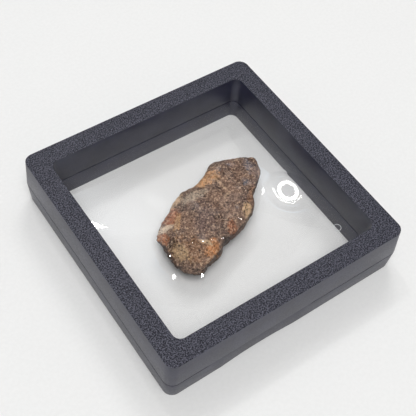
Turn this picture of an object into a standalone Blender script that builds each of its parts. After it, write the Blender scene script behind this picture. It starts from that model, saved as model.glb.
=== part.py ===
"""An iron meteorite held between two stretched clear films in a square hinged display frame.

The frame lies flat. The long side with the finger notch faces -Y and the hinge is along +Y. Metres, +Z up.
Everything is drawn about the centre of the frame's window, then set back by half of what the hinge stands
out, so that the origin is the middle of the whole outline, on the surface that the frame lies on.
"""

import math

import bmesh
import bpy
import numpy as np
from mathutils import Vector
from mathutils.bvhtree import BVHTree

MM = 0.001

# The frame's two halves
FRAME_HEIGHT = 19.25 * MM
FACE_HALF = 44.5 * MM
SEAM_HALF = 45.0 * MM
SEAM_Z = 8.3 * MM
SEAM_GAP = 0.3 * MM
OUTER_CORNER = 3.3 * MM
WINDOW_FACE_HALF = 37.8 * MM
WINDOW_SEAM_HALF = 37.4 * MM
WINDOW_CORNER = 2.7 * MM
EDGE_ROUND = 0.25 * MM
ROUNDED_FROM = 50.0
CORNER_STEPS = 7
PAST = 1.0 * MM

# The rebate that each film's border lies in
REBATE_HALF = 43.0 * MM
REBATE_CORNER = 0.5 * MM
FIT_GAP = 0.3 * MM
FILM = 0.3 * MM
FILM_FREE_HALF = 36.9 * MM
FILM_CELLS = 40
FILM_SWEEPS = 2500
FILM_CLEAR = 0.55 * MM
FILM_SHARE_KEPT = 0.3

# The finger notch in the lower half's front wall
NOTCH_X = -11.5 * MM
NOTCH_HALF_LENGTH = 17.3 * MM
NOTCH_DEPTH = 0.7 * MM
NOTCH_STEPS = 384

# The hinge, on an axis half way up the back wall, so that the opened halves lie level
HINGE_STATIONS = (-26.0 * MM, 26.0 * MM)
HINGE_AXIS_Y = SEAM_HALF + 0.7 * MM
HINGE_AXIS_Z = FRAME_HEIGHT / 2
KNUCKLE_RADIUS = 1.5 * MM
KNUCKLE_STEPS = 24
MIDDLE_LENGTH = 6.0 * MM
SIDE_LENGTH = 4.0 * MM
PIP_RADIUS = 0.6 * MM
PIP_LENGTH = 1.2 * MM
SOCKET_RADIUS = 0.9 * MM
SOCKET_DEPTH = 1.5 * MM
WEB_INWARD = 1.5 * MM
WEB_OUTWARD = 0.3 * MM
WEB_HEIGHT = 3.4 * MM

# The meteorite, an irregular flat fragment: its outline seen from above, in millimetres
ROCK_OUTLINE_MM = (
    (13.9, 16.3), (16.0, 15.0), (19.3, 13.7), (21.4, 13.2), (23.2, 12.1), (25.8, 9.6), (25.6, 6.8),
    (24.4, 3.8), (21.0, 1.4), (18.4, -0.4), (15.2, -3.0), (14.9, -5.3), (13.3, -7.2), (11.4, -8.5),
    (10.2, -8.3), (9.1, -9.4), (4.1, -11.2), (-1.2, -12.1), (-3.2, -13.0), (-4.7, -14.4), (-7.0, -15.7),
    (-10.1, -16.2), (-11.9, -16.8), (-14.1, -17.9), (-15.6, -16.6), (-16.9, -15.8), (-18.3, -15.0),
    (-19.3, -11.6), (-20.2, -8.3), (-19.8, -5.0), (-19.7, -3.6), (-20.4, 0.8), (-19.6, 2.4), (-17.1, 3.9),
    (-13.8, 5.9), (-10.8, 7.7), (-8.6, 9.3), (-5.9, 10.9), (-3.7, 12.2), (-1.5, 12.1), (1.4, 11.2),
    (4.1, 12.0), (6.8, 12.9), (9.0, 14.5), (11.4, 15.8),
)
ROCK_BOTTOM = 4.2 * MM
ROCK_TOP = 12.4 * MM

# Broken facets: a point of the edge where each starts, in millimetres, the compass bearing that it
# falls towards, in degrees from +X, and how steeply it falls. The underside's facets rise instead.
TOP_FACETS = (
    ((-9.7, 2.4, 12.3), 139.0, 33.0),
    ((6.2, 9.0, 12.2), 120.0, 27.0),
    ((20.5, 7.0, 12.4), -20.0, 24.0),
    ((2.4, -9.3, 12.2), -66.0, 34.0),
    ((-17.8, -1.6, 11.4), 195.0, 42.0),
    ((-10.0, -9.5, 12.4), 236.0, 13.0),
    ((12.0, -3.0, 12.4), -45.0, 22.0),
    ((19.0, 11.0, 12.2), 75.0, 35.0),
)
UNDERSIDE_FACETS = (
    ((-8.0, -11.0, 4.3), -70.0, 24.0),
    ((8.0, -5.0, 4.4), -60.0, 20.0),
    ((16.0, 6.0, 4.4), 20.0, 28.0),
    ((2.0, 8.0, 4.6), 100.0, 34.0),
    ((-14.0, 0.0, 4.5), 150.0, 26.0),
    ((-15.0, -12.0, 4.3), 225.0, 22.0),
)
ROCK_VOXEL = 0.75 * MM
ROCK_SHARE_KEPT = 0.26
WEATHERING = 0.5
WEATHERING_PASSES = 2

# Size and height of each kind of roughness
SLOW_LUMPS = (7.0 * MM, 0.9 * MM)
RIPPLES = (2.6 * MM, 0.6 * MM)
PITS = (1.7 * MM, 0.4 * MM)

BLACK_PLASTIC = (0.035, 0.035, 0.042)
RUSTED_IRON = (0.16, 0.095, 0.065)
CLEAR_FILM = (0.95, 0.96, 0.97)


def clear_scene():
    for old in list(bpy.data.objects):
        bpy.data.objects.remove(old, do_unlink=True)


def new_collection(name):
    made = bpy.data.collections.new(name)
    bpy.context.scene.collection.children.link(made)
    return made


def material(name, colour, roughness, metallic=0.0, transmission=0.0):
    made = bpy.data.materials.new(name)
    made.use_nodes = True
    shader = made.node_tree.nodes["Principled BSDF"]
    shader.inputs["Base Color"].default_value = (*colour, 1.0)
    shader.inputs["Roughness"].default_value = roughness
    shader.inputs["Metallic"].default_value = metallic
    shader.inputs["Transmission Weight"].default_value = transmission
    return made


def object_of(shape, name, collection, finish=None):
    """Turns a bmesh into an object, drawn about the window's centre."""
    mesh = bpy.data.meshes.new(name)
    bmesh.ops.recalc_face_normals(shape, faces=shape.faces)
    shape.to_mesh(mesh)
    shape.free()
    made = bpy.data.objects.new(name, mesh)
    collection.objects.link(made)
    if finish:
        mesh.materials.append(finish)
    return made


def as_cutter(tool):
    tool.hide_render = True
    tool.display_type = "WIRE"
    return tool


def boolean(target, tool, operation="DIFFERENCE"):
    modifier = target.modifiers.new(f"{operation.lower()} {tool.name}", "BOOLEAN")
    modifier.operation = operation
    modifier.solver = "EXACT"
    modifier.object = tool


def leaning(at_face, at_seam, face_z, z):
    """Half width at height z of a wall that leans evenly between a half's outer face and the seam."""
    return at_face + (at_seam - at_face) * (z - face_z) / (SEAM_Z - face_z)


def tapered_block(name, half_width, z_low, z_high, corner, collection, finish=None):
    """A square block with round upright corners. half_width gives its half width at a height."""
    shape = bmesh.new()
    bmesh.ops.create_cube(shape, size=2.0)
    upright = [edge for edge in shape.edges if edge.verts[0].co.z * edge.verts[1].co.z < 0]
    for vert in shape.verts:
        z = z_high if vert.co.z > 0 else z_low
        half = half_width(z)
        vert.co = Vector((math.copysign(half, vert.co.x), math.copysign(half, vert.co.y), z))
    bmesh.ops.bevel(
        shape,
        geom=upright,
        offset=corner,
        offset_type="OFFSET",
        segments=CORNER_STEPS,
        profile=0.5,
        affect="EDGES",
    )
    return object_of(shape, name, collection, finish)


def bar(name, x_low, x_high, y_low, y_high, z_low, z_high, collection):
    shape = bmesh.new()
    bmesh.ops.create_cube(shape, size=1.0)
    bmesh.ops.scale(shape, vec=(x_high - x_low, y_high - y_low, z_high - z_low), verts=shape.verts)
    middle = Vector(((x_low + x_high) / 2, (y_low + y_high) / 2, (z_low + z_high) / 2))
    bmesh.ops.translate(shape, vec=middle, verts=shape.verts)
    return object_of(shape, name, collection)


def rod_along_x(name, radius, x_low, x_high, collection):
    """A rod on the hinge's axis."""
    bpy.ops.mesh.primitive_cylinder_add(
        vertices=KNUCKLE_STEPS,
        radius=radius,
        depth=x_high - x_low,
        location=((x_low + x_high) / 2, HINGE_AXIS_Y, HINGE_AXIS_Z),
        rotation=(0, math.pi / 2, 0),
    )
    made = bpy.context.object
    made.name = name
    made.users_collection[0].objects.unlink(made)
    collection.objects.link(made)
    return made


def frame_half(name, upper, parts, tools, finish):
    """One moulded half: a square ring with leaning walls, a window and a rebate for the film's border."""
    face_z = FRAME_HEIGHT if upper else 0.0
    side = 1 if upper else -1
    seam_face = SEAM_Z + side * SEAM_GAP / 2
    ledge = seam_face + side * (FILM + FIT_GAP)

    def outer(z):
        return leaning(FACE_HALF, SEAM_HALF, face_z, z)

    def window(z):
        return leaning(WINDOW_FACE_HALF, WINDOW_SEAM_HALF, face_z, z)

    def rebate(z):
        return REBATE_HALF

    body = sorted((face_z, seam_face))
    half = tapered_block(name, outer, *body, OUTER_CORNER, parts, finish)
    through = sorted((face_z + side * PAST, seam_face - side * PAST))
    hole = tapered_block(f"{name} window", window, *through, WINDOW_CORNER, tools)
    boolean(half, as_cutter(hole))
    sunk = sorted((seam_face - side * PAST, ledge))
    recess = tapered_block(f"{name} rebate", rebate, *sunk, REBATE_CORNER, tools)
    boolean(half, as_cutter(recess))
    rounding = half.modifiers.new("moulded edges", "BEVEL")
    rounding.width = EDGE_ROUND
    rounding.segments = 2
    rounding.limit_method = "ANGLE"
    rounding.angle_limit = math.radians(ROUNDED_FROM)
    return half


def cut_finger_notch(lower, tools):
    """A shallow scoop in the lower half's front wall, where a finger nail parts the halves."""
    radius = (NOTCH_HALF_LENGTH**2 + NOTCH_DEPTH**2) / (2 * NOTCH_DEPTH)
    wall = -(FACE_HALF + SEAM_HALF) / 2
    bpy.ops.mesh.primitive_cylinder_add(
        vertices=NOTCH_STEPS,
        radius=radius,
        depth=SEAM_Z + 2 * PAST,
        location=(NOTCH_X, wall + NOTCH_DEPTH - radius, SEAM_Z / 2),
    )
    scoop = bpy.context.object
    scoop.name = "finger notch scoop"
    scoop.users_collection[0].objects.unlink(scoop)
    tools.objects.link(scoop)
    boolean(lower, as_cutter(scoop))


def web(name, x_span, z_span, tools):
    """The flat bar that carries a knuckle on its half's back wall."""
    return bar(name, *x_span, HINGE_AXIS_Y - WEB_INWARD, HINGE_AXIS_Y + WEB_OUTWARD, *z_span, tools)


def add_hinge(index, x, upper, lower, tools):
    """One hinge: a knuckle on the upper half, between two on the lower half that hold it by pips."""
    middle = MIDDLE_LENGTH / 2
    roomy = KNUCKLE_RADIUS + FIT_GAP
    above = (HINGE_AXIS_Z, HINGE_AXIS_Z + WEB_HEIGHT)
    below = (HINGE_AXIS_Z - WEB_HEIGHT, HINGE_AXIS_Z)

    def named(word):
        return f"hinge {index} {word}"

    room = rod_along_x(named("middle room"), roomy, x - middle - FIT_GAP, x + middle + FIT_GAP, tools)
    boolean(lower, as_cutter(room))
    span = (x - middle, x + middle)
    knuckle = rod_along_x(named("middle knuckle"), KNUCKLE_RADIUS, *span, tools)
    for tool in (knuckle, web(named("middle web"), span, above, tools)):
        boolean(upper, as_cutter(tool), "UNION")
    for way in (-1, 1):
        near = x + way * (middle + FIT_GAP)
        span = sorted((near, near + way * SIDE_LENGTH))
        clear = (span[0] - FIT_GAP, span[1] + FIT_GAP)
        bored = sorted((x + way * (middle - SOCKET_DEPTH), x + way * (middle + PAST)))
        socket = rod_along_x(named(f"socket {way}"), SOCKET_RADIUS, *bored, tools)
        around = rod_along_x(named(f"side room {way}"), roomy, *clear, tools)
        beside = bar(
            named(f"web room {way}"),
            *clear,
            HINGE_AXIS_Y - WEB_INWARD - FIT_GAP,
            HINGE_AXIS_Y + WEB_OUTWARD + PAST,
            SEAM_Z - PAST,
            HINGE_AXIS_Z,
            tools,
        )
        for tool in (socket, around, beside):
            boolean(upper, as_cutter(tool))
        side_knuckle = rod_along_x(named(f"side knuckle {way}"), KNUCKLE_RADIUS, *span, tools)
        side_web = web(named(f"side web {way}"), span, below, tools)
        pip = rod_along_x(named(f"pip {way}"), PIP_RADIUS, near - PIP_LENGTH, near + PIP_LENGTH, tools)
        for tool in (side_knuckle, side_web, pip):
            boolean(lower, as_cutter(tool), "UNION")


def facet_normal(bearing, fall, side):
    """Outward normal of a facet that falls away towards a bearing, on top (side 1) or underneath (-1)."""
    heading = math.radians(bearing)
    tilt = math.radians(fall)
    level = math.sin(tilt)
    return Vector((level * math.cos(heading), level * math.sin(heading), side * math.cos(tilt)))


def displace(rock, name, kind, size_and_height):
    size, height = size_and_height
    texture = bpy.data.textures.new(name, kind)
    texture.noise_scale = size
    modifier = rock.modifiers.new(name, "DISPLACE")
    modifier.texture = texture
    modifier.texture_coords = "LOCAL"
    modifier.mid_level = 0.5
    modifier.strength = height
    return modifier


def meteorite(parts, finish):
    """The fragment: its outline raised to a slab, broken back by its facets, then roughened."""
    shape = bmesh.new()
    corners = [shape.verts.new((x * MM, y * MM, ROCK_BOTTOM)) for x, y in ROCK_OUTLINE_MM]
    underside = shape.faces.new(corners)
    raised = bmesh.ops.extrude_face_region(shape, geom=[underside])
    lifted = [item for item in raised["geom"] if isinstance(item, bmesh.types.BMVert)]
    bmesh.ops.translate(shape, vec=(0, 0, ROCK_TOP - ROCK_BOTTOM), verts=lifted)
    for facets, side in ((TOP_FACETS, 1), (UNDERSIDE_FACETS, -1)):
        for point, bearing, fall in facets:
            everything = [*shape.verts, *shape.edges, *shape.faces]
            cut = bmesh.ops.bisect_plane(
                shape,
                geom=everything,
                plane_co=Vector(point) * MM,
                plane_no=facet_normal(bearing, fall, side),
                clear_outer=True,
            )
            rim = [item for item in cut["geom_cut"] if isinstance(item, bmesh.types.BMEdge)]
            bmesh.ops.holes_fill(shape, edges=rim, sides=0)
    rock = object_of(shape, "meteorite", parts, finish)
    remesh = rock.modifiers.new("even faces", "REMESH")
    remesh.mode = "VOXEL"
    remesh.voxel_size = ROCK_VOXEL
    smooth = rock.modifiers.new("weathering", "SMOOTH")
    smooth.factor = WEATHERING
    smooth.iterations = WEATHERING_PASSES
    displace(rock, "slow lumps", "CLOUDS", SLOW_LUMPS)
    displace(rock, "ripples", "CLOUDS", RIPPLES)
    displace(rock, "pits", "VORONOI", PITS)
    thin = rock.modifiers.new("fewer faces", "DECIMATE")
    thin.ratio = ROCK_SHARE_KEPT
    return rock


def rock_reach(rock, side, places):
    """How far the rock stands from the seam plane on one side, over a square grid of places."""
    tree = BVHTree.FromObject(rock, bpy.context.evaluated_depsgraph_get())
    reach = np.full((len(places), len(places)), -np.inf)
    start = SEAM_Z + side * FRAME_HEIGHT
    for row, y in enumerate(places):
        for column, x in enumerate(places):
            hit = tree.ray_cast(Vector((x, y, start)), Vector((0, 0, -side)))[0]
            if hit:
                reach[row, column] = side * (hit.z - SEAM_Z)
    # A cell takes the highest of its neighbours, so that the rock doesn't poke through between them.
    around = np.pad(reach, 1, constant_values=-np.inf)
    shifts = [around[i : i + len(places), j : j + len(places)] for i in range(3) for j in range(3)]
    return np.max(shifts, axis=0)


def stretched_film(name, side, rock, parts, finish):
    """A film held flat round its border and drawn tight over one side of the rock."""
    resting = (SEAM_GAP + FILM) / 2
    places = np.linspace(-FILM_FREE_HALF, FILM_FREE_HALF, FILM_CELLS + 1)
    kept_up = rock_reach(rock, side, places) + FILM_CLEAR
    lift = np.full(kept_up.shape, resting)
    for _ in range(FILM_SWEEPS):
        mean = (lift[:-2, 1:-1] + lift[2:, 1:-1] + lift[1:-1, :-2] + lift[1:-1, 2:]) / 4
        lift[1:-1, 1:-1] = np.maximum(mean, kept_up[1:-1, 1:-1])
    border = REBATE_HALF - FIT_GAP
    places = np.concatenate([[-border], places, [border]])
    lift = np.pad(lift, 1, constant_values=resting)

    shape = bmesh.new()
    cells = len(places) - 1
    bmesh.ops.create_grid(shape, x_segments=cells, y_segments=cells, size=1.0)
    free = []
    for index, vert in enumerate(shape.verts):
        column = round((vert.co.x + 1) / 2 * cells)
        row = round((vert.co.y + 1) / 2 * cells)
        vert.co = Vector((places[column], places[row], SEAM_Z + side * lift[row, column]))
        if max(abs(vert.co.x), abs(vert.co.y)) < FILM_FREE_HALF - PAST:
            free.append(index)
    film = object_of(shape, name, parts, finish)
    tented = film.vertex_groups.new(name="tented")
    tented.add(free, 1.0, "REPLACE")
    thin = film.modifiers.new("fewer faces", "DECIMATE")
    thin.ratio = FILM_SHARE_KEPT
    thin.vertex_group = tented.name
    thickness = film.modifiers.new("thickness", "SOLIDIFY")
    thickness.thickness = FILM
    thickness.offset = 0
    return film


def build():
    clear_scene()
    parts = new_collection("framed meteorite")
    tools = new_collection("cutters")
    plastic = material("black plastic", BLACK_PLASTIC, 0.45)
    iron = material("rusted iron", RUSTED_IRON, 0.6, metallic=0.3)
    clear = material("clear film", CLEAR_FILM, 0.05, transmission=1.0)

    lower = frame_half("lower_frame", False, parts, tools, plastic)
    upper = frame_half("upper_frame", True, parts, tools, plastic)
    cut_finger_notch(lower, tools)
    for index, x in enumerate(HINGE_STATIONS, 1):
        add_hinge(index, x, upper, lower, tools)
    rock = meteorite(parts, iron)
    stretched_film("lower_film", -1, rock, parts, clear)
    stretched_film("upper_film", 1, rock, parts, clear)

    middle = bpy.data.objects.new("frame middle", None)
    parts.objects.link(middle)
    middle.location.y = -(HINGE_AXIS_Y + KNUCKLE_RADIUS - SEAM_HALF) / 2
    for made in [*parts.objects, *tools.objects]:
        if made is not middle:
            made.parent = middle


build()
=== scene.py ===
"""Looks of an iron meteorite held between two stretched clear films in a square hinged display frame.

The frame lies flat, with the finger notch in its -Y side and the hinge along its +Y side. Metres, +Z up.
"""

import math

import bmesh
import bpy
import numpy as np
from mathutils import Matrix, Vector
from mathutils.bvhtree import BVHTree


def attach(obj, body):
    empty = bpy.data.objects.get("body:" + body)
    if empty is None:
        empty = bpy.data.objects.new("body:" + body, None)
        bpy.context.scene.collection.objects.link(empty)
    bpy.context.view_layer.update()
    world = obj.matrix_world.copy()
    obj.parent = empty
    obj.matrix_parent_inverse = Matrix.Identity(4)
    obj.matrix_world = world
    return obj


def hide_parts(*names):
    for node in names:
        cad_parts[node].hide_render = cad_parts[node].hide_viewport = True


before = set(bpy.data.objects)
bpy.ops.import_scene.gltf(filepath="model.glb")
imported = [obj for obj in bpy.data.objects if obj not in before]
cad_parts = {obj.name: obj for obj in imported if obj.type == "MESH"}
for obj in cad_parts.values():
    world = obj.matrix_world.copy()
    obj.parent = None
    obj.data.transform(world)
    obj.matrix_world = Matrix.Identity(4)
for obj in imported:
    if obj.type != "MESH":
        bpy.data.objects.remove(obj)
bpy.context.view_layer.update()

MM = 0.001

# The window's middle stands this far before the origin, because the hinge stands out behind the frame
MIDDLE_Y = -1.1 * MM

# The frame: its walls lean outwards from the flat faces to the seam between the halves
FRAME_HEIGHT = 19.25 * MM
FACE_HALF = 44.5 * MM
SEAM_HALF = 45.0 * MM
SEAM_Z = 8.3 * MM
SEAM_GAP = 0.3 * MM
OUTER_CORNER = 3.3 * MM
WINDOW_FACE_HALF = 37.8 * MM
WINDOW_SEAM_HALF = 37.4 * MM
WINDOW_CORNER = 2.7 * MM
REBATE_HALF = 43.0 * MM
REBATE_CORNER = 0.5 * MM
REBATE_DEPTH = 0.06 * MM
MOULDED_EDGE = 0.32 * MM

# How far a cutting block runs past what it cuts
PAST = 1.0 * MM

# The finger notch in the lower half's front wall
NOTCH_X = -11.5 * MM
NOTCH_HALF_LENGTH = 17.3 * MM
NOTCH_DEPTH = 0.7 * MM

# The two hinges
HINGE_STATIONS = (-26.0 * MM, 26.0 * MM)
HINGE_Y = MIDDLE_Y + 45.7 * MM
HINGE_Z = FRAME_HEIGHT / 2
KNUCKLE_RADIUS = 1.5 * MM
KNUCKLE_HALF = 3.0 * MM
SIDE_KNUCKLE = 4.0 * MM
RUNNING_GAP = 0.3 * MM
WEB_INWARD = 1.5 * MM
WEB_OUTWARD = 0.3 * MM
WEB_HEIGHT = 3.4 * MM

# The fragment is carved on a grid of this size, and its near end gets this many knobs and pits
CARVING_GRID = 0.25 * MM
NEAR_END_KNOBS = 90

# The films: how thick they are, how far their held border and their free part reach, and their clearances
FILM = 0.12 * MM
FILM_BORDER = 42.6 * MM
FILM_FREE = 36.8 * MM
FILM_OFF_ROCK = 0.12 * MM
FILM_OFF_SEAM = 0.04 * MM
FILM_CELLS = 160

# The slack spot of the upper film: its place from the window's middle, the reach that is fully domed and
# the reach where the dome has faded out, its slopes along +X and +Y, and its fall towards the rim, all in
# millimetres
SLACK_PLACE = (27.6, -7.2)
SLACK_DOMED = 4.8
SLACK_END = 9.2
SLACK_SLOPES = (-0.052, 0.218)
SLACK_FALL = 0.0012

# The small raised ring on the upper film, painted white as a highlight for the ring-shaped glint there
RING_GLINT = (33.1, -27.4)
RING_GLINT_RADIUS = 1.25 * MM
RING_GLINT_THICK = 0.08 * MM
RING_GLINT_LIFT = 0.05 * MM

rng = np.random.default_rng(27)


# Modelling helpers


def leave_all():
    """Nothing is selected, so that the next operator acts on its own piece alone."""
    if bpy.context.object and bpy.context.object.mode != "OBJECT":
        bpy.ops.object.mode_set(mode="OBJECT")
    bpy.ops.object.select_all(action="DESELECT")


def take(piece):
    """Selects this piece alone and makes it the active one."""
    leave_all()
    piece.select_set(True)
    bpy.context.view_layer.objects.active = piece
    return piece


def named(piece, name):
    """Gives the piece and its mesh the same name."""
    piece.name = name
    piece.data.name = name
    return piece


def settle(piece):
    """Puts the piece's place, turn and size into its mesh."""
    take(piece)
    bpy.ops.object.transform_apply(location=True, rotation=True, scale=True)
    return piece


def pick(piece, faces=None, edges=None):
    """In edit mode, selects the faces or edges that a test by place or normal names."""
    shape = bmesh.from_edit_mesh(piece.data)
    bpy.ops.mesh.select_all(action="DESELECT")
    bpy.ops.mesh.select_mode(type="FACE" if faces else "EDGE")
    for item in shape.faces if faces else shape.edges:
        if (faces or edges)(item):
            item.select_set(True)
    bmesh.update_edit_mesh(piece.data)


def finish_modifier(piece, kind, **settings):
    """Adds a modifier with these settings and applies it."""
    take(piece)
    modifier = piece.modifiers.new(kind.lower(), kind)
    for key, value in settings.items():
        setattr(modifier, key, value)
    bpy.ops.object.modifier_apply(modifier=modifier.name)
    return piece


def cut(piece, tool, operation="DIFFERENCE"):
    """Takes the tool's shape out of the piece, or joins it on with UNION, and clears the tool away."""
    finish_modifier(piece, "BOOLEAN", operation=operation, solver="EXACT", object=tool)
    mesh = tool.data
    bpy.data.objects.remove(tool)
    bpy.data.meshes.remove(mesh)
    return piece


def smooth(piece, degrees):
    """Shades the piece smooth except at edges sharper than this."""
    take(piece)
    bpy.ops.object.shade_smooth_by_angle(angle=math.radians(degrees))
    return piece


# The frame's two halves


def leaning_block(name, half_at_face, half_at_seam, face_z, seam_z, corner, steps):
    """A square block with round upright corners, whose walls lean from the outer face to the seam."""
    leave_all()
    bpy.ops.mesh.primitive_cube_add(size=1.0, location=(0, MIDDLE_Y, (face_z + seam_z) / 2))
    block = named(bpy.context.object, name)
    block.scale = (2 * half_at_seam, 2 * half_at_seam, abs(face_z - seam_z))
    settle(block)
    bpy.ops.object.mode_set(mode="EDIT")
    pick(block, faces=lambda face: abs(face.calc_center_median().z - face_z) < 1e-5)
    lean = half_at_face / half_at_seam
    bpy.ops.transform.resize(value=(lean, lean, 1), center_override=(0, MIDDLE_Y, face_z))
    pick(block, edges=lambda edge: abs(edge.verts[0].co.z - edge.verts[1].co.z) > 1e-5)
    bpy.ops.mesh.bevel(offset=corner, segments=steps, profile=0.5, affect="EDGES")
    bpy.ops.object.mode_set(mode="OBJECT")
    return block


def lean_at(at_face, at_seam, face_z, z):
    """How far a leaning wall stands from the middle at a height."""
    return at_face + (at_seam - at_face) * (z - face_z) / (SEAM_Z - face_z)


def knuckle(name, radius, x_low, x_high):
    """A rod on the hinge's axis: a knuckle, or the room that is cut for one."""
    leave_all()
    bpy.ops.mesh.primitive_cylinder_add(
        vertices=40,
        radius=radius,
        depth=x_high - x_low,
        location=((x_low + x_high) / 2, HINGE_Y, HINGE_Z),
        rotation=(0, math.pi / 2, 0),
    )
    return settle(named(bpy.context.object, name))


def hinge_block(name, x_low, x_high, y_low, y_high, z_low, z_high):
    """A web that joins a knuckle to its half, or the room that is cut for one."""
    leave_all()
    middle = ((x_low + x_high) / 2, (y_low + y_high) / 2, (z_low + z_high) / 2)
    bpy.ops.mesh.primitive_cube_add(size=1.0, location=middle)
    block = named(bpy.context.object, name)
    block.scale = (x_high - x_low, y_high - y_low, z_high - z_low)
    return settle(block)


def add_hinges(lower, upper):
    """Two hinges: each has a knuckle on the upper half between two on the lower half."""
    roomy = KNUCKLE_RADIUS + RUNNING_GAP
    inner = HINGE_Y - WEB_INWARD
    outer = HINGE_Y + WEB_OUTWARD
    for x in HINGE_STATIONS:
        low, high = x - KNUCKLE_HALF, x + KNUCKLE_HALF
        cut(lower, knuckle("room", roomy, low - RUNNING_GAP, high + RUNNING_GAP))
        cut(upper, knuckle("middle_knuckle", KNUCKLE_RADIUS, low, high), "UNION")
        above = (inner, outer, HINGE_Z, HINGE_Z + WEB_HEIGHT)
        cut(upper, hinge_block("middle_web", low, high, *above), "UNION")
        for way in (-1, 1):
            near = x + way * (KNUCKLE_HALF + RUNNING_GAP)
            span = sorted((near, near + way * SIDE_KNUCKLE))
            clear = (span[0] - RUNNING_GAP, span[1] + RUNNING_GAP)
            cut(upper, knuckle("side_room", roomy, *clear))
            beside = (inner - RUNNING_GAP, outer + PAST, SEAM_Z - PAST, HINGE_Z)
            cut(upper, hinge_block("web_room", *clear, *beside))
            cut(lower, knuckle("side_knuckle", KNUCKLE_RADIUS, *span), "UNION")
            below = (inner, outer, HINGE_Z - WEB_HEIGHT, HINGE_Z)
            cut(lower, hinge_block("side_web", *span, *below), "UNION")


def frame_half(name, upper):
    """One moulded half: leaning walls round a window, with a rebate at the seam for the film's border."""
    face_z = FRAME_HEIGHT if upper else 0.0
    side = 1 if upper else -1
    seam_face = SEAM_Z + side * SEAM_GAP / 2
    half = leaning_block(name, FACE_HALF, SEAM_HALF, face_z, seam_face, OUTER_CORNER, 16)
    beyond_face, beyond_seam = face_z + side * PAST, seam_face - side * PAST
    window = [lean_at(WINDOW_FACE_HALF, WINDOW_SEAM_HALF, face_z, z) for z in (beyond_face, beyond_seam)]
    cut(half, leaning_block("window", *window, beyond_face, beyond_seam, WINDOW_CORNER, 14))
    sunk = seam_face + side * REBATE_DEPTH
    cut(half, leaning_block("rebate", REBATE_HALF, REBATE_HALF, sunk, beyond_seam, REBATE_CORNER, 6))
    return half


def cut_finger_notch(lower):
    """The shallow scoop in the lower half's front wall, where a finger nail parts the halves."""
    radius = (NOTCH_HALF_LENGTH**2 + NOTCH_DEPTH**2) / (2 * NOTCH_DEPTH)
    wall = MIDDLE_Y - (FACE_HALF + SEAM_HALF) / 2
    leave_all()
    bpy.ops.mesh.primitive_cylinder_add(
        vertices=720,
        radius=radius,
        depth=SEAM_Z + 2 * PAST,
        location=(NOTCH_X, wall + NOTCH_DEPTH - radius, SEAM_Z / 2),
    )
    cut(lower, settle(named(bpy.context.object, "scoop")))


def moulded(half, face_z, wall_finish, face_finish, edge_shade_finish):
    """Rounds the edges, then puts the grain on the flat face and the near-black painted shade on rims and
    seam lips.
    """
    finish_modifier(
        half,
        "BEVEL",
        width=MOULDED_EDGE,
        segments=3,
        limit_method="ANGLE",
        angle_limit=math.radians(48),
        use_clamp_overlap=True,
    )
    smooth(half, 32)
    half.data.materials.clear()
    for finish in (wall_finish, face_finish, edge_shade_finish):
        half.data.materials.append(finish)
    for face in half.data.polygons:
        from_face = abs(face.center.z - face_z)
        from_seam = abs(face.center.z - SEAM_Z)
        facing = abs(face.normal.z)
        flat = from_face < 0.02 * MM and facing > 0.99
        rim = from_face < MOULDED_EDGE and facing > 0.3
        outside = max(abs(face.center.x), abs(face.center.y - MIDDLE_Y)) > REBATE_HALF + MOULDED_EDGE
        lip = from_seam < SEAM_GAP / 2 + MOULDED_EDGE and 0.2 < facing < 0.98
        # Rims and the seam's outer lips take the near-black painted shade
        face.material_index = 1 if flat else 2 if rim or (lip and outside) else 0
    return half


# The meteorite


def merged_copy(node, name):
    """A copy of a solid with its loose triangles joined, to carve further."""
    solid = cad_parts[node]
    made = solid.copy()
    made.data = solid.data.copy()
    for key in list(made.keys()):
        del made[key]
    made.parent = None
    bpy.context.scene.collection.objects.link(made)
    made.hide_render = made.hide_viewport = False
    named(made, name)
    take(made)
    bpy.ops.object.mode_set(mode="EDIT")
    bpy.ops.mesh.select_all(action="SELECT")
    bpy.ops.mesh.remove_doubles(threshold=0.01 * MM)
    bpy.ops.object.mode_set(mode="OBJECT")
    return made


# Hollows (below 0) and swellings of the upper side: place, reach along and across, bearing of the length in
# degrees, and height, all but the bearing in millimetres from the window's middle
UPPER_RELIEF = {
    "facet_ridge": (-9.0, 3.0, 7.5, 1.0, 42, 0.45),
    "facet_ridge_end": (-13.5, -1.2, 3.0, 0.9, 52, 0.4),
    "far_left_rim": (1.0, 9.4, 4.5, 0.9, 18, 0.5),
    "rusty_hollow": (6.5, 9.7, 3.2, 1.8, 25, -0.55),
    "vein": (8.4, 4.2, 3.6, 0.6, 100, 0.35),
    "vein_foot": (7.2, 1.4, 1.6, 0.8, 60, -0.35),
    "crease": (-0.6, -4.8, 4.4, 0.7, -20, -0.4),
    "heart_hollow": (-8.3, -4.6, 4.0, 2.2, 50, -0.3),
    "plateau": (-1.8, 6.8, 3.6, 1.5, 35, 0.25),
    "right_facet": (1.7, -10.2, 2.6, 1.7, 25, -0.5),
    "near_right_hollow": (-8.4, -13.0, 2.8, 1.5, 30, -0.45),
    "near_right_rim": (-8.3, -11.0, 2.6, 0.6, 20, 0.4),
    "tan_lump": (10.4, -7.2, 1.8, 1.2, 35, 0.35),
    "lump_groove": (8.0, -5.8, 1.2, 2.2, 35, -0.3),
    "notch_slope": (-19.0, -2.8, 1.6, 1.2, 120, -0.4),
    "notch_pit": (-18.6, -5.2, 1.0, 0.8, 100, -0.45),
    "near_left_hollow": (-18.4, -9.0, 2.2, 1.0, 80, -0.4),
    "far_slope": (17.0, 8.5, 3.0, 1.6, 30, -0.3),
    "far_hollow": (19.5, 3.0, 2.6, 1.0, 60, -0.35),
    "far_ridge": (14.0, 0.6, 2.4, 0.8, 40, 0.35),
    "near_end_hollow": (-13.0, -11.5, 2.4, 1.4, 10, -0.35),
    "far_left_bump": (13.2, 11.8, 2.2, 0.9, 20, 0.3),
}


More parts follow.
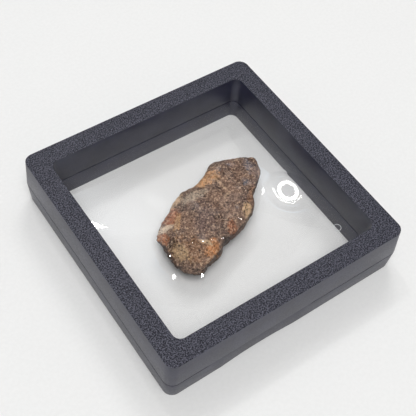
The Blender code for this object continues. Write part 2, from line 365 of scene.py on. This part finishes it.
def raise_relief(co, upward):
    """Carves the named hollows and swellings where the surface faces upward."""
    for x, y, along, across, bearing, height in UPPER_RELIEF.values():
        turn = math.radians(bearing)
        dx = co[:, 0] / MM - x
        dy = (co[:, 1] - MIDDLE_Y) / MM - y
        u = (dx * math.cos(turn) + dy * math.sin(turn)) / along
        v = (-dx * math.sin(turn) + dy * math.cos(turn)) / across
        co[:, 2] += height * MM * np.exp(-(u * u + v * v)) * upward
    return co


def near_end_knobs(co, normals):
    """Rounded knobs and pits crowd the near end, which is rougher than the rest."""
    for _ in range(NEAR_END_KNOBS):
        x = rng.uniform(-22.0, -8.0)
        y = rng.uniform(-18.5, -6.0)
        z = rng.uniform(4.5, 12.5)
        nearness = np.clip((-x - y - 18.0) / 10.0, 0.0, 1.0)
        reach = rng.uniform(0.45, 0.95)
        height = rng.uniform(-0.38, 0.3) * nearness
        place = np.array([x * MM, y * MM + MIDDLE_Y, z * MM])
        far = np.linalg.norm(co - place, axis=1) / (reach * MM)
        co += normals * (height * MM * np.exp(-far * far))[:, None]
    return co


def rough(piece, kind, size, height, **settings):
    """Displaces the surface by a cloud or cell pattern of this size and height, in millimetres."""
    texture = bpy.data.textures.new(f"{kind} {size}", kind)
    texture.noise_scale = size * MM
    for key, value in settings.items():
        setattr(texture, key, value)
    finish_modifier(
        piece, "DISPLACE", texture=texture, texture_coords="LOCAL", mid_level=0.5, strength=height * MM
    )


def carve_meteorite(finish):
    """The fragment: the solid's main forms, softened, then carved and roughened from large to small."""
    rock = merged_copy("meteorite", "meteorite_fragment")
    finish_modifier(rock, "REMESH", mode="VOXEL", voxel_size=CARVING_GRID)
    finish_modifier(rock, "SMOOTH", factor=0.5, iterations=9)
    mesh = rock.data
    co = np.zeros(len(mesh.vertices) * 3)
    mesh.vertices.foreach_get("co", co)
    co = co.reshape(-1, 3)
    normals = np.array([vert.normal for vert in mesh.vertices])
    upward = np.clip((normals[:, 2] - 0.05) / 0.6, 0.0, 1.0)
    co = raise_relief(co, upward)
    co = near_end_knobs(co, normals)
    mesh.vertices.foreach_set("co", co.ravel())
    mesh.update()
    rough(rock, "CLOUDS", 2.4, 0.55, noise_depth=2)
    rough(rock, "VORONOI", 1.3, 0.32, distance_metric="DISTANCE")
    rough(rock, "CLOUDS", 0.55, 0.3, noise_depth=2)
    smooth(rock, 60)
    mesh.materials.clear()
    mesh.materials.append(finish)
    return rock


# The two films


def reach_of(rock, side, places):
    """How far the rock stands from the seam plane on one side, over a square grid of places."""
    tree = BVHTree.FromObject(rock, bpy.context.evaluated_depsgraph_get())
    reach = np.full((len(places), len(places)), -1.0)
    start = SEAM_Z + side * FRAME_HEIGHT
    for row, y in enumerate(places):
        for column, x in enumerate(places):
            hit = tree.ray_cast(Vector((x, y + MIDDLE_Y, start)), Vector((0, 0, -side)))[0]
            if hit:
                reach[row, column] = side * (hit.z - SEAM_Z)
    around = np.pad(reach, 1, constant_values=-1.0)
    size = len(places)
    return np.max([around[i : i + size, j : j + size] for i in range(3) for j in range(3)], axis=0)


def drawn_tight(reach, resting):
    """The height of an elastic sheet, held round its border, over what it can't pass below."""
    size = len(reach)
    fine = np.linspace(0, 1, size)
    lift = np.full((3, 3), resting)
    for step in (8, 4, 2, 1):
        coarse = fine[::step]
        old = np.linspace(0, 1, len(lift))
        lift = np.array([np.interp(coarse, old, row) for row in lift])
        lift = np.array([np.interp(coarse, old, column) for column in lift.T]).T
        floor = reach[::step, ::step]
        if step > 1:
            span = step // 2
            padded = np.pad(reach, span, mode="edge")
            shifts = range(0, 2 * span + 1, span)
            around = [padded[i : i + size, j : j + size] for i in shifts for j in shifts]
            floor = np.max(around, axis=0)[::step, ::step]
        lift[0], lift[-1], lift[:, 0], lift[:, -1] = resting, resting, resting, resting
        for _ in range(1500):
            mean = (lift[:-2, 1:-1] + lift[2:, 1:-1] + lift[1:-1, :-2] + lift[1:-1, 2:]) / 4
            lift[1:-1, 1:-1] = np.maximum(mean, floor[1:-1, 1:-1])
    return lift


def slackened(lift, places):
    """Domes the film gently at its slack spot."""
    x, y = SLACK_PLACE
    slope_x, slope_y = SLACK_SLOPES
    across, along = np.meshgrid(places / MM, places / MM)
    dx, dy = across - x, along - y
    away = np.hypot(dx, dy)
    share = np.clip((SLACK_END - away) / (SLACK_END - SLACK_DOMED), 0.0, 1.0)
    share = share * share * (3 - 2 * share)
    height = lift[np.argmin(abs(places / MM - y)), np.argmin(abs(places / MM - x))]
    dome = height + (slope_x * dx + slope_y * dy - SLACK_FALL * away * away) * MM
    return lift + share * (dome - lift)


def draw_film(name, side, rock, finish):
    """A film held in the seam and drawn tight over one side of the meteorite."""
    free = np.linspace(-FILM_FREE, FILM_FREE, FILM_CELLS + 1)
    resting = FILM / 2 + FILM_OFF_SEAM
    reach = reach_of(rock, side, free) + FILM_OFF_ROCK + FILM / 2
    lift = drawn_tight(reach, resting)
    if side > 0:
        lift = np.maximum(slackened(lift, free), reach)
    places = np.concatenate([[-FILM_BORDER], free, [FILM_BORDER]])
    lift = np.pad(lift, 1, constant_values=resting)
    leave_all()
    steps = FILM_CELLS + 2
    bpy.ops.mesh.primitive_grid_add(
        x_subdivisions=steps, y_subdivisions=steps, size=2.0, location=(0, 0, 0)
    )
    film = named(bpy.context.object, name)
    for vert in film.data.vertices:
        column = round((vert.co.x + 1) / 2 * steps)
        row = round((vert.co.y + 1) / 2 * steps)
        vert.co = (places[column], places[row] + MIDDLE_Y, SEAM_Z + side * lift[row, column])
    finish_modifier(film, "SOLIDIFY", thickness=FILM, offset=0.0)
    smooth(film, 50)
    film.data.materials.clear()
    film.data.materials.append(finish)
    film.visible_shadow = False
    film.visible_diffuse = False
    return film


def painted_ring_glint(film, finish):
    """The small raised ring on the upper film, near its right corner, painted white as a highlight."""
    x, y = RING_GLINT[0] * MM, RING_GLINT[1] * MM + MIDDLE_Y
    tree = BVHTree.FromObject(film, bpy.context.evaluated_depsgraph_get())
    on_film, upright = tree.ray_cast(Vector((x, y, 2 * FRAME_HEIGHT)), Vector((0, 0, -1)))[:2]
    leave_all()
    bpy.ops.mesh.primitive_torus_add(
        major_radius=RING_GLINT_RADIUS,
        minor_radius=RING_GLINT_THICK,
        major_segments=64,
        minor_segments=10,
        location=on_film + upright * RING_GLINT_LIFT,
        rotation=upright.to_track_quat("Z", "Y").to_euler(),
    )
    ring_glint = settle(named(bpy.context.object, "film_ring_glint"))
    smooth(ring_glint, 60)
    ring_glint.data.materials.append(finish)
    return ring_glint


# Finishes


class Finish:
    """A Principled material and a few short words for wiring patterns into it."""

    def __init__(self, name, colour, roughness, **sockets):
        self.material = bpy.data.materials.new(name)
        self.material.use_nodes = True
        self.tree = self.material.node_tree
        self.shader = self.tree.nodes["Principled BSDF"]
        self.shader.inputs["Base Color"].default_value = (*colour, 1)
        self.shader.inputs["Roughness"].default_value = roughness
        for socket, value in sockets.items():
            self.shader.inputs[socket.replace("_", " ")].default_value = value
        where = self.tree.nodes.new("ShaderNodeTexCoord")
        self.place, self.facing = where.outputs["Object"], where.outputs["Normal"]

    def wire(self, value, socket):
        """Links a pattern to a socket, or sets the socket to a plain value."""
        if hasattr(value, "links"):
            self.tree.links.new(value, socket)
        else:
            socket.default_value = value

    def node(self, kind, **settings):
        """A new node with these settings."""
        made = self.tree.nodes.new(kind)
        for key, value in settings.items():
            setattr(made, key, value)
        return made

    def noise(self, size, detail=3.0, roughness=0.5, distortion=0.0):
        """Noise whose lumps are about this many millimetres across."""
        made = self.node("ShaderNodeTexNoise")
        self.wire(self.place, made.inputs["Vector"])
        made.inputs["Scale"].default_value = 1 / (size * MM)
        made.inputs["Detail"].default_value = detail
        made.inputs["Roughness"].default_value = roughness
        made.inputs["Distortion"].default_value = distortion
        return made.outputs["Fac"]

    def ramp(self, value, low, high, to_low=0.0, to_high=1.0):
        """A smooth step of a pattern, from one value to another."""
        made = self.node("ShaderNodeMapRange", interpolation_type="SMOOTHSTEP")
        made.clamp = True
        keys = ("Value", "From Min", "From Max", "To Min", "To Max")
        for key, item in zip(keys, (value, low, high, to_low, to_high)):
            self.wire(item, made.inputs[key])
        return made.outputs["Result"]

    def maths(self, operation, first, second):
        """The sum, difference or product of two patterns or values."""
        made = self.node("ShaderNodeMath", operation=operation)
        self.wire(first, made.inputs[0])
        self.wire(second, made.inputs[1])
        return made.outputs[0]

    def mix(self, share, first, second):
        """The first colour where the share is 0, the second where it is 1."""
        made = self.node("ShaderNodeMix", data_type="RGBA")
        self.wire(share, made.inputs["Factor"])
        for index, colour in ((6, first), (7, second)):
            self.wire((*colour, 1) if isinstance(colour, tuple) else colour, made.inputs[index])
        return made.outputs[2]

    def bump(self, height, depth, strength=1.0, under=None):
        """Relief of this depth in millimetres, over another one where there is one under it."""
        made = self.node("ShaderNodeBump")
        self.wire(height, made.inputs["Height"])
        made.inputs["Distance"].default_value = depth * MM
        made.inputs["Strength"].default_value = strength
        if under:
            self.wire(under, made.inputs["Normal"])
        return made.outputs["Normal"]

    def wear(self, value, socket):
        """Puts a pattern or value on the shader itself."""
        self.wire(value, self.shader.inputs[socket])


def grained_plastic():
    """Black plastic with the fine sand grain of the frame's flat faces."""
    plastic = Finish("black_grained_plastic", (0.03, 0.03, 0.038), 0.4, Specular_IOR_Level=0.3)
    grain = plastic.noise(0.4, 2.0, 0.6)
    slow = plastic.noise(14.0, 2.0)
    sand = plastic.mix(plastic.ramp(grain, 0.4, 0.66), (0.008, 0.008, 0.013), (0.122, 0.122, 0.155))
    plastic.wear(sand, "Base Color")
    plastic.wear(plastic.ramp(slow, 0.3, 0.7, 0.36, 0.46), "Roughness")
    plastic.wear(plastic.bump(grain, 0.16, 1.0, plastic.bump(slow, 0.3, 0.15)), "Normal")
    return plastic.material


def smooth_plastic():
    """Black plastic of the walls: a satin skin with slight flow marks along the mould."""
    plastic = Finish("black_satin_plastic", (0.03, 0.03, 0.04), 0.3, Specular_IOR_Level=0.8)
    fine = plastic.noise(0.5, 2.0, 0.5)
    flow = plastic.noise(9.0, 3.0, 0.55)
    skin = plastic.mix(plastic.ramp(flow, 0.3, 0.7), (0.019, 0.019, 0.038), (0.031, 0.032, 0.062))
    plastic.wear(skin, "Base Color")
    plastic.wear(plastic.ramp(fine, 0.3, 0.7, 0.32, 0.42), "Roughness")
    plastic.wear(plastic.bump(fine, 0.02, 0.5, plastic.bump(flow, 0.2, 0.15)), "Normal")
    return plastic.material


def painted_shade_rim_plastic():
    """Black plastic of the rims round the flat faces and of the seam's lips, painted near black as shade
    along the edges and in the seam.
    """
    plastic = Finish("black_rim_painted_shade", (0.004, 0.004, 0.006), 0.7, Specular_IOR_Level=0.04)
    worn = plastic.noise(3.0, 3.0, 0.6)
    skin = plastic.mix(plastic.ramp(worn, 0.5, 0.75), (0.002, 0.002, 0.003), (0.02, 0.02, 0.025))
    plastic.wear(skin, "Base Color")
    plastic.wear(plastic.ramp(worn, 0.3, 0.7, 0.75, 0.6), "Roughness")
    return plastic.material


def clear_film():
    """Clear elastic film: smooth and glossy all over."""
    film = Finish("clear_elastic_film", (1.0, 1.0, 1.0), 0.02, Transmission_Weight=1.0, IOR=1.45)
    return film.material


def painted_ring_highlight():
    """Near-white paint for the small raised ring on the upper film: a painted highlight standing in for its
    glint.
    """
    highlight_white = Finish("painted_ring_highlight", (0.8, 0.81, 0.83), 0.3)
    haze = highlight_white.noise(0.6, 2.0)
    highlight_white.wear(highlight_white.mix(haze, (0.62, 0.64, 0.67), (0.88, 0.89, 0.9)), "Base Color")
    highlight_white.wear(highlight_white.bump(haze, 0.02, 0.4), "Normal")
    return highlight_white.material


# Patches of crust: place, reach along and across, bearing, then how ragged, all in millimetres and
# degrees from the window's middle
CRUST_PATCHES = {
    "mauve_heart": ((-4.6, -3.8), 7.0, 3.6, 50, 0.5),
    "warm_flank": ((7.0, -3.0), 9.0, 3.4, 42, 0.5),
    "near_end": ((-13.4, -10.6), 7.2, 4.6, -50, 0.5),
    "pale_plateau": ((-1.8, 7.0), 5.4, 2.1, -6, 0.45),
    "left_slope_tan": ((-6.9, 9.6), 4.4, 1.5, 32, 0.4),
    "red_facet": ((-12.2, 4.3), 4.3, 2.9, 40, 0.35),
    "facet_border": ((-12.4, 0.6), 4.8, 1.1, 52, 0.45),
    "pale_foot": ((-16.4, 2.0), 3.1, 1.5, -20, 0.35),
    "notch_rust": ((-18.6, -1.0), 3.0, 1.5, 95, 0.35),
    # notch_pit, crease and far_hollow are painted near black as shade in the relief's pit, crease and
    # hollow
    "notch_pit": ((-17.6, -4.4), 1.3, 1.0, 0, 0.4),
    "far_left_rust": ((6.2, 10.3), 5.2, 2.7, 0, 0.4),
    "vein": ((8.5, 5.2), 3.3, 0.6, 97, 0.4),
    "vein_hook": ((8.1, 1.2), 1.9, 0.6, 22, 0.4),
    "near_right_rust": ((-8.1, -13.4), 3.4, 2.3, 42, 0.4),
    "near_right_rim": ((-8.7, -10.9), 2.4, 0.75, -48, 0.35),
    "near_left_tan": ((-17.0, -8.8), 3.8, 1.9, 100, 0.5),
    "right_facet": ((2.0, -10.2), 3.0, 1.8, 58, 0.4),
    "tan_lump": ((10.3, -6.9), 2.9, 1.6, 54, 0.35),
    "right_rim": ((15.8, -2.2), 4.2, 1.2, 35, 0.5),
    "crease": ((0.7, -5.6), 3.2, 0.4, -49, 0.35),
    "far_hollow": ((15.6, 1.8), 1.9, 0.6, 20, 0.4),
}


def crust_mask(crust, patch, edge_noise):
    """1 inside the named patch and 0 outside, with a ragged edge."""
    (x, y), along, across, bearing, ragged = CRUST_PATCHES[patch]
    laid = crust.node("ShaderNodeMapping", vector_type="TEXTURE")
    crust.wire(crust.place, laid.inputs["Vector"])
    laid.inputs["Location"].default_value = (x * MM, y * MM + MIDDLE_Y, 10 * MM)
    laid.inputs["Rotation"].default_value = (0, 0, math.radians(bearing))
    laid.inputs["Scale"].default_value = (along * MM, across * MM, 9 * MM)
    length = crust.node("ShaderNodeVectorMath", operation="LENGTH")
    crust.wire(laid.outputs[0], length.inputs[0])
    wander = crust.maths("MULTIPLY", crust.maths("SUBTRACT", edge_noise, 0.5), ragged * 5)
    return crust.ramp(crust.maths("ADD", length.outputs["Value"], wander), 1.2, 0.66)


def rusted_crust():
    """Weathered iron: a mauve-brown skin with tan grains and dark pits, broken by rust and tan patches;
    pits, crease, hollows and steep sides carry painted shade.
    """
    crust = Finish("rusted_iron_crust", (0.2, 0.14, 0.12), 0.6, Specular_IOR_Level=0.4)
    ragged = crust.noise(1.7, 5.0, 0.7, 0.5)
    sand = crust.noise(0.72, 4.0, 0.75, 0.5)
    pits = crust.noise(1.3, 3.0, 0.65, 0.3)
    broad = crust.noise(5.0, 3.0, 0.6)

    colour = crust.mix(crust.ramp(broad, 0.36, 0.64), (0.125, 0.074, 0.056), (0.25, 0.152, 0.108))
    skins = (
        ("mauve_heart", (0.145, 0.098, 0.094), 0.65),
        ("warm_flank", (0.235, 0.15, 0.115), 0.6),
        ("near_end", (0.24, 0.12, 0.06), 0.8),
        ("pale_plateau", (0.48, 0.39, 0.3), 0.75),
        ("left_slope_tan", (0.62, 0.43, 0.28), 0.85),
        ("red_facet", (0.4, 0.165, 0.095), 0.95),
        ("facet_border", (0.6, 0.35, 0.18), 0.85),
        ("pale_foot", (0.88, 0.66, 0.5), 0.95),
        ("notch_rust", (0.36, 0.13, 0.05), 0.95),
        # Painted shade: near black in the notch pit
        ("notch_pit", (0.05, 0.032, 0.026), 0.8),
        ("far_left_rust", (0.56, 0.29, 0.125), 0.9),
        ("vein", (0.55, 0.38, 0.25), 0.75),
        ("vein_hook", (0.5, 0.34, 0.22), 0.7),
        ("near_right_rust", (0.5, 0.21, 0.075), 0.9),
        ("near_right_rim", (0.64, 0.45, 0.27), 0.85),
        ("near_left_tan", (0.55, 0.37, 0.2), 0.7),
        ("right_facet", (0.32, 0.12, 0.055), 0.9),
        ("tan_lump", (0.62, 0.41, 0.23), 0.9),
        ("right_rim", (0.33, 0.17, 0.1), 0.7),
        # Painted shade: near black along the crease and in the far hollow
        ("crease", (0.05, 0.034, 0.03), 0.7),
        ("far_hollow", (0.05, 0.034, 0.03), 0.7),
    )
    for patch, shade, strength in skins:
        share = crust.maths("MULTIPLY", crust_mask(crust, patch, ragged), strength)
        darker, lighter = (tuple(min(part * tone, 1.0) for part in shade) for tone in (0.7, 1.25))
        colour = crust.mix(share, colour, crust.mix(crust.ramp(pits, 0.36, 0.62), darker, lighter))
    colour = crust.mix(crust.ramp(sand, 0.52, 0.62, 0.0, 0.7), colour, (0.68, 0.49, 0.34))
    # Darkens the low spots of the sand and pit bumps: partly the crust's own dark pits, partly painted
    # shade in them
    colour = crust.mix(crust.ramp(sand, 0.48, 0.37, 0.0, 0.92), colour, (0.024, 0.014, 0.011))
    colour = crust.mix(crust.ramp(pits, 0.36, 0.28, 0.0, 0.8), colour, (0.025, 0.016, 0.013))
    # Painted shade: darker where the surface turns from upward to sideways and downward, on steep sides and
    # underside
    upright = crust.node("ShaderNodeSeparateXYZ")
    crust.wire(crust.facing, upright.inputs[0])
    wander = crust.maths("MULTIPLY", crust.maths("SUBTRACT", ragged, 0.5), 0.8)
    side = crust.maths("ADD", upright.outputs["Z"], wander)
    colour = crust.mix(crust.ramp(side, 0.42, 0.0, 0.0, 0.8), colour, (0.06, 0.034, 0.024))
    crust.wear(colour, "Base Color")
    crust.wear(crust.ramp(sand, 0.35, 0.65, 0.75, 0.45), "Roughness")
    crust.wear(crust.bump(sand, 0.4, 1.0, crust.bump(pits, 0.5, 0.6)), "Normal")
    return crust.material


def pale_paper():
    """The matt white table under the frame."""
    paper = Finish("pale_table", (0.8, 0.8, 0.793), 0.75, Specular_IOR_Level=0.2)
    tooth = paper.noise(1.2, 2.0)
    sheet = paper.mix(paper.ramp(tooth, 0.3, 0.7), (0.79, 0.79, 0.783), (0.81, 0.81, 0.803))
    paper.wear(sheet, "Base Color")
    return paper.material


# Build

wall_finish = smooth_plastic()
face_finish = grained_plastic()
edge_shade_finish = painted_shade_rim_plastic()
film_finish = clear_film()

lower_half = frame_half("lower_frame_moulding", False)
upper_half = frame_half("upper_frame_moulding", True)
cut_finger_notch(lower_half)
add_hinges(lower_half, upper_half)
moulded(lower_half, 0.0, wall_finish, face_finish, edge_shade_finish)
moulded(upper_half, FRAME_HEIGHT, wall_finish, face_finish, edge_shade_finish)

rock = carve_meteorite(rusted_crust())
lower_film = draw_film("lower_film_sheet", -1, rock, film_finish)
upper_film = draw_film("upper_film_sheet", 1, rock, film_finish)

for piece, node, body, slot in (
    (lower_half, "lower_frame", "lower", "frame_plastic"),
    (upper_half, "upper_frame", "upper", "frame_plastic"),
    (rock, "meteorite", "lower", "rusted_iron"),
    (lower_film, "lower_film", "lower", "clear_film"),
    (upper_film, "upper_film", "upper", "clear_film"),
):
    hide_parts(node)
    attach(piece, body)

# The raised ring's white paint is a painted highlight for a glint on the film
ring_glint = painted_ring_glint(upper_film, painted_ring_highlight())
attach(ring_glint, "upper")

# Floor, light and camera

leave_all()
bpy.ops.mesh.primitive_plane_add(size=3.0, location=(0, 0, 0))
floor = named(bpy.context.object, "pale_floor")
floor.data.materials.append(pale_paper())


def soft_light(name, place, size, power, mirrored=True):
    """A square lamp aimed at the frame. One that isn't mirrored lights the scene but shows in no gloss."""
    data = bpy.data.lights.new(name, "AREA")
    data.shape = "SQUARE"
    data.size = size
    data.energy = power
    lamp = bpy.data.objects.new(name, data)
    lamp.location = place
    lamp.rotation_euler = (-place).to_track_quat("-Z", "Y").to_euler()
    lamp.visible_glossy = lamp.visible_transmission = mirrored
    bpy.context.scene.collection.objects.link(lamp)


def lamp_place(bearing, rise, away):
    """A point this far from the window's middle, at a compass bearing from +X and a rise, in degrees."""
    turn, lift = math.radians(bearing), math.radians(rise)
    level = away * math.cos(lift)
    return Vector((level * math.cos(turn), level * math.sin(turn) + MIDDLE_Y, away * math.sin(lift)))


def ring_lamp(name, place, radius, tube, radiance):
    """A ring-shaped lamp, which the film mirrors as a white ring."""
    leave_all()
    facing = (-place).to_track_quat("Z", "Y").to_euler()
    bpy.ops.mesh.primitive_torus_add(
        major_radius=radius,
        minor_radius=tube,
        major_segments=64,
        minor_segments=12,
        location=place,
        rotation=facing,
    )
    ring = settle(named(bpy.context.object, name))
    glow = bpy.data.materials.new(name)
    glow.use_nodes = True
    shader = glow.node_tree.nodes["Principled BSDF"]
    shader.inputs["Base Color"].default_value = (0, 0, 0, 1)
    shader.inputs["Emission Color"].default_value = (1.0, 0.99, 0.97, 1)
    shader.inputs["Emission Strength"].default_value = radiance
    ring.data.materials.append(glow)
    ring.visible_camera = False


def glowing_scrim(name, place, reach, radiance, colour):
    """A lit cloth, brightest in its middle, that gives gloss a soft glow but casts no light or shadow."""
    leave_all()
    facing = (-place).to_track_quat("Z", "Y").to_euler()
    bpy.ops.mesh.primitive_plane_add(size=2 * reach, location=place, rotation=facing)
    scrim = settle(named(bpy.context.object, name))
    cloth = Finish(name, (0, 0, 0), 1.0)
    away = cloth.node("ShaderNodeVectorMath", operation="DISTANCE")
    cloth.wire(cloth.place, away.inputs[0])
    away.inputs[1].default_value = place
    cloth.shader.inputs["Emission Color"].default_value = (*colour, 1)
    cloth.wear(cloth.ramp(away.outputs["Value"], 0.0, reach, radiance, 0.0), "Emission Strength")
    scrim.data.materials.append(cloth.material)
    scrim.visible_camera = scrim.visible_diffuse = scrim.visible_shadow = False


ring_lamp("ring_lamp", lamp_place(4.0, 56.0, 1.0), 0.026, 0.0045, 40.0)
soft_light("back_lamp", lamp_place(81.0, 59.0, 1.0), 0.06, 0.8)
soft_light("near_end_spot", lamp_place(38.0, 79.0, 1.0), 0.014, 0.045)
soft_light("near_left_spot", lamp_place(108.0, 71.5, 1.0), 0.016, 0.06)
soft_light("notch_spot", lamp_place(83.0, 75.0, 1.0), 0.014, 0.045)
soft_light("key_lamp", lamp_place(50.0, 54.0, 1.3), 0.4, 3.5, mirrored=False)
soft_light("ceiling_softbox", lamp_place(238.0, 70.0, 1.6), 0.8, 17.4, mirrored=False)
glowing_scrim("back_scrim", lamp_place(84.0, 57.0, 1.2), 0.42, 1.6, (0.9, 0.95, 1.0))
glowing_scrim("blue_scrim", lamp_place(30.0, 36.0, 1.5), 0.42, 1.3, (0.6, 0.78, 1.0))

world = bpy.data.worlds.new("studio")
world.use_nodes = True
sky = world.node_tree.nodes["Background"].inputs
sky["Color"].default_value = (1, 1, 1, 1)
sky["Strength"].default_value = 0.26
bpy.context.scene.world = world
bpy.context.scene.view_settings.view_transform = "Standard"

CAMERA_PLACE = (-0.101742, -0.122216, 0.234063)
CAMERA_RIGHT = Vector((0.82234, -0.56515, 0.06611))
CAMERA_UP = Vector((0.43125, 0.69483, 0.57553))
camera_data = bpy.data.cameras.new("photograph")
camera_data.lens = 71.68
camera_data.sensor_width = 36.0
camera_data.clip_start = 0.01
camera = bpy.data.objects.new("photograph", camera_data)
turned = Matrix((CAMERA_RIGHT, CAMERA_UP, CAMERA_RIGHT.cross(CAMERA_UP))).transposed()
camera.matrix_world = Matrix.Translation(CAMERA_PLACE) @ turned.to_4x4()
bpy.context.scene.collection.objects.link(camera)
bpy.context.scene.camera = camera
